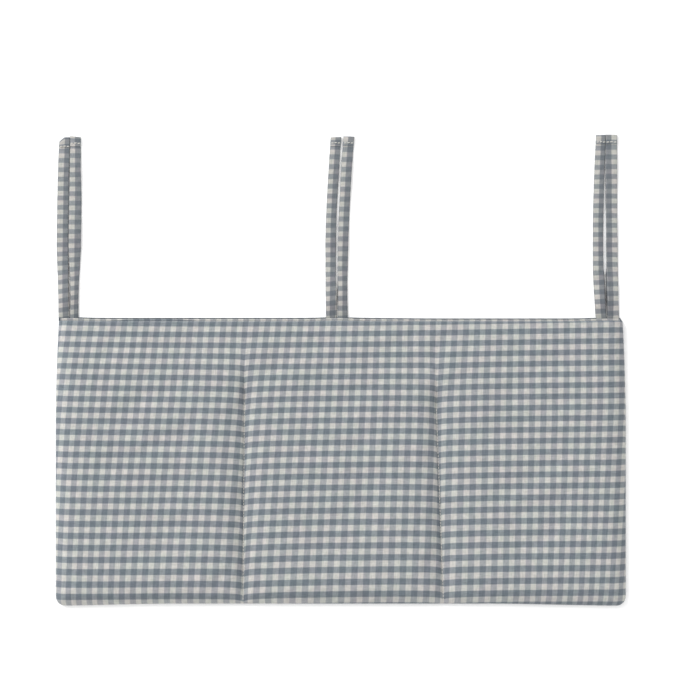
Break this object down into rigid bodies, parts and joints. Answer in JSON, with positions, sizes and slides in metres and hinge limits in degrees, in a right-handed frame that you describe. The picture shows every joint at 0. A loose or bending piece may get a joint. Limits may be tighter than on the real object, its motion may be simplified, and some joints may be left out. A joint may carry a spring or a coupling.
{
  "type": "crib organizer",
  "caption": "Lightly padded gingham panel, sewn into a row of open-topped pockets, with pairs of cloth ties along its top edge to hang it from a crib rail.",
  "frame": {"origin": "middle of the panel's back face, on the plane that it lies on", "axes": "+X across the panel to the viewer's right, +Y up the panel to its mouth and ties, +Z out of its front"},
  "size_m": [0.6, 0.4933, 0.015],
  "materials": {
    "gingham_cloth": "plain-woven cotton gingham, blue-grey and cream",
    "tie_cloth": "plain-woven cotton gingham tape, blue-grey and cream",
    "lining_cloth": "plain-woven cotton gingham, blue-grey and cream, the same as outside",
    "padding": "soft white wadding",
    "thread": "spun cream sewing thread"
  },
  "bodies": {
    "panel": {"back_outer_cloth": "gingham_cloth", "back_padding": "padding", "back_lining": "lining_cloth", "front_lining": "lining_cloth", "front_padding": "padding", "front_outer_cloth": "gingham_cloth", "edge_seam_thread": "thread", "back_mouth_seam_thread": "thread", "front_mouth_seam_thread": "thread", "left_divider_needle_thread": "thread", "right_divider_needle_thread": "thread", "left_divider_bobbin_thread": "thread", "right_divider_bobbin_thread": "thread", "left_tie_root": "tie_cloth", "centre_tie_root": "tie_cloth", "right_tie_root": "tie_cloth"},
    "left_tie_left": {"left_tie_left_tail": "tie_cloth", "left_tie_left_hem_thread": "thread"},
    "left_tie_right": {"left_tie_right_tail": "tie_cloth", "left_tie_right_hem_thread": "thread"},
    "centre_tie_left": {"centre_tie_left_tail": "tie_cloth", "centre_tie_left_hem_thread": "thread"},
    "centre_tie_right": {"centre_tie_right_tail": "tie_cloth", "centre_tie_right_hem_thread": "thread"},
    "right_tie_left": {"right_tie_left_tail": "tie_cloth", "right_tie_left_hem_thread": "thread"},
    "right_tie_right": {"right_tie_right_tail": "tie_cloth", "right_tie_right_hem_thread": "thread"}
  },
  "joints": [
    {"name": "left_tie_left_turn", "type": "hinge", "parent": "panel", "child": "left_tie_left", "pos_m": [-0.291, 0.15195, 0.00065], "axis": [1, 0, 0], "range_deg": [-90, 90]},
    {"name": "left_tie_right_turn", "type": "hinge", "parent": "panel", "child": "left_tie_right", "pos_m": [-0.2795, 0.15195, 0.00065], "axis": [1, 0, 0], "range_deg": [-90, 90]},
    {"name": "centre_tie_left_turn", "type": "hinge", "parent": "panel", "child": "centre_tie_left", "pos_m": [-0.00915, 0.15195, 0.00065], "axis": [1, 0, 0], "range_deg": [-90, 90]},
    {"name": "centre_tie_right_turn", "type": "hinge", "parent": "panel", "child": "centre_tie_right", "pos_m": [0.00235, 0.15195, 0.00065], "axis": [1, 0, 0], "range_deg": [-90, 90]},
    {"name": "right_tie_left_turn", "type": "hinge", "parent": "panel", "child": "right_tie_left", "pos_m": [0.27376, 0.15195, 0.00065], "axis": [1, 0, 0], "range_deg": [-90, 90]},
    {"name": "right_tie_right_turn", "type": "hinge", "parent": "panel", "child": "right_tie_right", "pos_m": [0.28794, 0.15195, 0.00065], "axis": [1, 0, 0], "range_deg": [-90, 90]}
  ]
}
